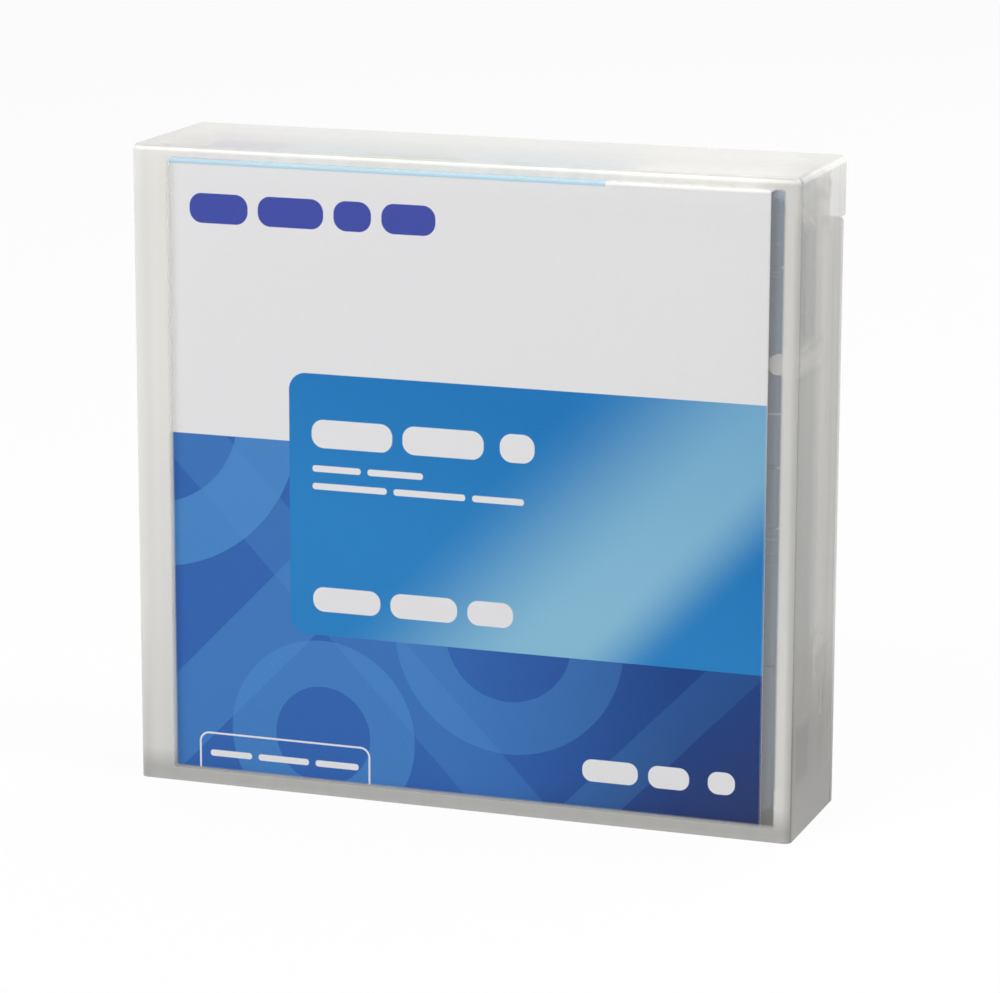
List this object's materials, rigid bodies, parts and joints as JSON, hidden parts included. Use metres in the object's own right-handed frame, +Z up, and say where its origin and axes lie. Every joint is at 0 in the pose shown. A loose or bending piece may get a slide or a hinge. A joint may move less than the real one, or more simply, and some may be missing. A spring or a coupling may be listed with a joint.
{
  "type": "data tape cartridge",
  "caption": "Half-inch data tape cartridge in its hinged translucent library case, with a printed insert card behind the front wall.",
  "frame": {"origin": "middle of the closed case's footprint, on the surface that it stands on", "axes": "+Z up, -Y out of the case's card face, +X to the right as the card face is looked at"},
  "size_m": [0.115, 0.0274, 0.1092],
  "materials": {
    "polypropylene": "frosted, translucent moulding",
    "printed_card": "coated card with a printed face",
    "slate_plastic": "fine moulded texture",
    "door_plastic": "smooth moulding",
    "slider_red": "smooth moulding",
    "reel_plastic": "natural moulding",
    "brake_plastic": "natural moulding",
    "tape_film": "wound magnetic film",
    "leader_film": "clear brown film",
    "steel": "bright steel",
    "circuit_board": "coated board"
  },
  "bodies": {
    "lid": {"case_lid": "polypropylene", "insert_card": "printed_card", "upper_shell": "slate_plastic", "lower_shell": "slate_plastic", "shell_screws": "steel", "door_spring": "steel", "leader_pin": "steel", "pin_spring_upper": "steel", "pin_spring_lower": "steel", "tape_clip": "reel_plastic", "leader_tape": "leader_film", "memory_chip": "circuit_board", "brake_spring": "steel"},
    "base": {"case_base": "polypropylene"},
    "door": {"access_door": "door_plastic"},
    "write_protect": {"write_protect_slider": "slider_red"},
    "reel": {"reel_hub": "reel_plastic", "upper_flange": "reel_plastic", "tape_pack": "tape_film", "clutch_plate": "steel"},
    "brake": {"reel_brake": "brake_plastic"},
    "release": {"release_pad": "brake_plastic"}
  },
  "joints": [
    {"name": "case_hinge", "type": "hinge", "parent": "lid", "child": "base", "pos_m": [0, 0.00915, 0.1043], "axis": [1, 0, 0], "range_deg": [0, 100]},
    {"name": "door_slide", "type": "slide", "parent": "lid", "child": "door", "axis": [0, 0, 1], "range_m": [0, 0.019], "stiffness_N_per_m": 12, "springref_m": -0.006, "deforming": ["door_spring"]},
    {"name": "write_protect_slide", "type": "slide", "parent": "lid", "child": "write_protect", "axis": [-1, 0, 0], "range_m": [0, 0.006]},
    {"name": "reel_spin", "type": "hinge", "parent": "lid", "child": "reel", "pos_m": [0.001, 0, 0.0551], "axis": [0, 1, 0], "continuous": true},
    {"name": "brake_slide", "type": "slide", "parent": "lid", "child": "brake", "axis": [0, -1, 0], "range_m": [0, 0.0018], "stiffness_N_per_m": 300, "springref_m": -0.006, "deforming": ["brake_spring"]},
    {"name": "release_slide", "type": "slide", "parent": "reel", "child": "release", "axis": [0, -1, 0], "range_m": [0, 0.0018]}
  ],
  "couplings": [
    {"joint": "release_slide", "follows": "brake_slide", "ratio": 1}
  ]
}
